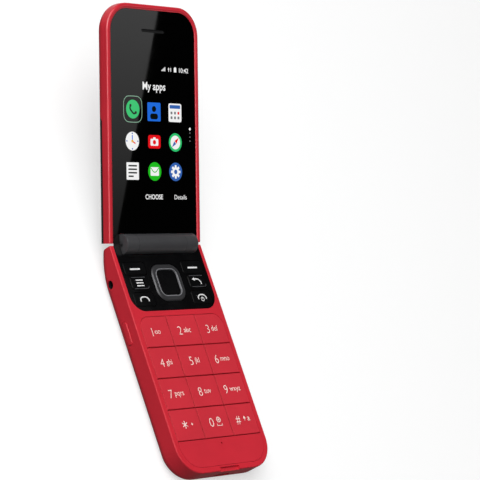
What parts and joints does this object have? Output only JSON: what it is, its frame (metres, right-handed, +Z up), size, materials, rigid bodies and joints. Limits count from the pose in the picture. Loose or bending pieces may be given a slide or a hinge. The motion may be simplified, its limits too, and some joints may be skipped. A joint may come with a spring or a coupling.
{
  "type": "flip phone",
  "caption": "Clamshell mobile phone lying open on its back: a keypad base and a display flip that folds shut on a barrel hinge, with every key moving.",
  "frame": {"origin": "the middle of the base's flat back, on the battery cover's outer face, where the open phone rests", "axes": "+X across the phone to its right, along the hinge axis; +Y from the chin towards the hinge and the flip; +Z up, out of the keypad"},
  "size_m": [0.0552, 0.1934, 0.0514],
  "materials": {
    "red_housing": "satin",
    "red_keys": "satin",
    "black_gloss": "gloss",
    "ring_metallic": "satin",
    "base_frame_metal": "satin",
    "flip_frame_plastic": "satin",
    "steel": "satin",
    "circuit_board": "satin",
    "silicone": "matte",
    "battery_pack": "satin",
    "display_panel": "gloss",
    "camera_glass": "gloss",
    "flash_diffuser": "gloss",
    "black_plastic": "matte",
    "flex_film": "satin"
  },
  "bodies": {
    "base": {"front_housing": "red_housing", "rear_housing": "red_housing", "battery_cover": "red_housing", "chin_plate": "red_housing", "nav_fascia": "black_gloss", "base_frame": "base_frame_metal", "main_board": "circuit_board", "key_domes": "steel", "keypad_mat": "silicone", "battery": "battery_pack", "battery_contacts": "black_plastic", "sim_reader": "steel", "headset_socket": "black_plastic", "usb_socket": "steel", "camera_module": "black_plastic", "camera_window": "camera_glass", "flash_lens": "flash_diffuser", "loudspeaker": "black_plastic", "vibration_motor": "steel", "microphone": "black_plastic", "housing_screws": "steel", "hinge_pivot": "steel", "hinge_cam_shaft": "steel"},
    "flip": {"flip_bezel": "red_housing", "flip_outer_cover": "red_housing", "outer_lens": "black_gloss", "main_lens": "black_gloss", "earpiece_mesh": "steel", "main_display": "display_panel", "earpiece": "black_plastic", "flip_magnet": "steel", "flip_frame": "flip_frame_plastic", "outer_display": "display_panel", "flip_board": "circuit_board", "hinge_flex": "flex_film", "hinge_cartridge": "steel", "hinge_spring": "steel"},
    "key_1": {"key_1": "red_keys"},
    "key_2": {"key_2": "red_keys"},
    "key_3": {"key_3": "red_keys"},
    "key_4": {"key_4": "red_keys"},
    "key_5": {"key_5": "red_keys"},
    "key_6": {"key_6": "red_keys"},
    "key_7": {"key_7": "red_keys"},
    "key_8": {"key_8": "red_keys"},
    "key_9": {"key_9": "red_keys"},
    "key_star": {"key_star": "red_keys"},
    "key_0": {"key_0": "red_keys"},
    "key_hash": {"key_hash": "red_keys"},
    "soft_key_left": {"soft_key_left": "black_gloss"},
    "soft_key_right": {"soft_key_right": "black_gloss"},
    "menu_key": {"menu_key": "black_gloss"},
    "back_key": {"back_key": "black_gloss"},
    "call_key": {"call_key": "black_gloss"},
    "end_key": {"end_key": "black_gloss"},
    "select_key": {"select_key": "black_gloss"},
    "nav_pivot": {"nav_pivot": "flip_frame_plastic"},
    "nav_ring": {"nav_ring": "ring_metallic"},
    "emergency_key": {"emergency_key": "red_housing"},
    "volume_key": {"volume_key": "red_housing"}
  },
  "joints": [
    {"name": "hinge", "type": "hinge", "parent": "base", "child": "flip", "pos_m": [0, 0.05025, 0.0113], "axis": [1, 0, 0], "range_deg": [0, 156]},
    {"name": "key_1_press", "type": "slide", "parent": "base", "child": "key_1", "axis": [0, 0, -1], "range_m": [0, 0.0003], "stiffness_N_per_m": 1500},
    {"name": "key_2_press", "type": "slide", "parent": "base", "child": "key_2", "axis": [0, 0, -1], "range_m": [0, 0.0003], "stiffness_N_per_m": 1500},
    {"name": "key_3_press", "type": "slide", "parent": "base", "child": "key_3", "axis": [0, 0, -1], "range_m": [0, 0.0003], "stiffness_N_per_m": 1500},
    {"name": "key_4_press", "type": "slide", "parent": "base", "child": "key_4", "axis": [0, 0, -1], "range_m": [0, 0.0003], "stiffness_N_per_m": 1500},
    {"name": "key_5_press", "type": "slide", "parent": "base", "child": "key_5", "axis": [0, 0, -1], "range_m": [0, 0.0003], "stiffness_N_per_m": 1500},
    {"name": "key_6_press", "type": "slide", "parent": "base", "child": "key_6", "axis": [0, 0, -1], "range_m": [0, 0.0003], "stiffness_N_per_m": 1500},
    {"name": "key_7_press", "type": "slide", "parent": "base", "child": "key_7", "axis": [0, 0, -1], "range_m": [0, 0.0003], "stiffness_N_per_m": 1500},
    {"name": "key_8_press", "type": "slide", "parent": "base", "child": "key_8", "axis": [0, 0, -1], "range_m": [0, 0.0003], "stiffness_N_per_m": 1500},
    {"name": "key_9_press", "type": "slide", "parent": "base", "child": "key_9", "axis": [0, 0, -1], "range_m": [0, 0.0003], "stiffness_N_per_m": 1500},
    {"name": "key_star_press", "type": "slide", "parent": "base", "child": "key_star", "axis": [0, 0, -1], "range_m": [0, 0.0003], "stiffness_N_per_m": 1500},
    {"name": "key_0_press", "type": "slide", "parent": "base", "child": "key_0", "axis": [0, 0, -1], "range_m": [0, 0.0003], "stiffness_N_per_m": 1500},
    {"name": "key_hash_press", "type": "slide", "parent": "base", "child": "key_hash", "axis": [0, 0, -1], "range_m": [0, 0.0003], "stiffness_N_per_m": 1500},
    {"name": "soft_key_left_press", "type": "slide", "parent": "base", "child": "soft_key_left", "axis": [0, 0, -1], "range_m": [0, 0.0003], "stiffness_N_per_m": 1500},
    {"name": "soft_key_right_press", "type": "slide", "parent": "base", "child": "soft_key_right", "axis": [0, 0, -1], "range_m": [0, 0.0003], "stiffness_N_per_m": 1500},
    {"name": "menu_key_press", "type": "slide", "parent": "base", "child": "menu_key", "axis": [0, 0, -1], "range_m": [0, 0.0003], "stiffness_N_per_m": 1500},
    {"name": "back_key_press", "type": "slide", "parent": "base", "child": "back_key", "axis": [0, 0, -1], "range_m": [0, 0.0003], "stiffness_N_per_m": 1500},
    {"name": "call_key_press", "type": "slide", "parent": "base", "child": "call_key", "axis": [0, 0, -1], "range_m": [0, 0.0003], "stiffness_N_per_m": 1500},
    {"name": "end_key_press", "type": "slide", "parent": "base", "child": "end_key", "axis": [0, 0, -1], "range_m": [0, 0.0003], "stiffness_N_per_m": 1500},
    {"name": "select_key_press", "type": "slide", "parent": "base", "child": "select_key", "axis": [0, 0, -1], "range_m": [0, 0.0003], "stiffness_N_per_m": 1500},
    {"name": "nav_up_down", "type": "hinge", "parent": "base", "child": "nav_pivot", "pos_m": [0, 0.03285, 0.009], "axis": [1, 0, 0], "range_deg": [-2, 2], "stiffness_Nm_per_rad": 0.5},
    {"name": "nav_left_right", "type": "hinge", "parent": "nav_pivot", "child": "nav_ring", "pos_m": [0, 0.03285, 0.0094], "axis": [0, 1, 0], "range_deg": [-2, 2], "stiffness_Nm_per_rad": 0.5},
    {"name": "emergency_key_press", "type": "slide", "parent": "base", "child": "emergency_key", "axis": [1, 0, 0], "range_m": [0, 0.0004], "stiffness_N_per_m": 1500},
    {"name": "volume_key_rock", "type": "hinge", "parent": "base", "child": "volume_key", "pos_m": [0.02495, 0.01825, 0.0053], "axis": [0, 0, 1], "range_deg": [-1.5, 1.5], "stiffness_Nm_per_rad": 1}
  ]
}
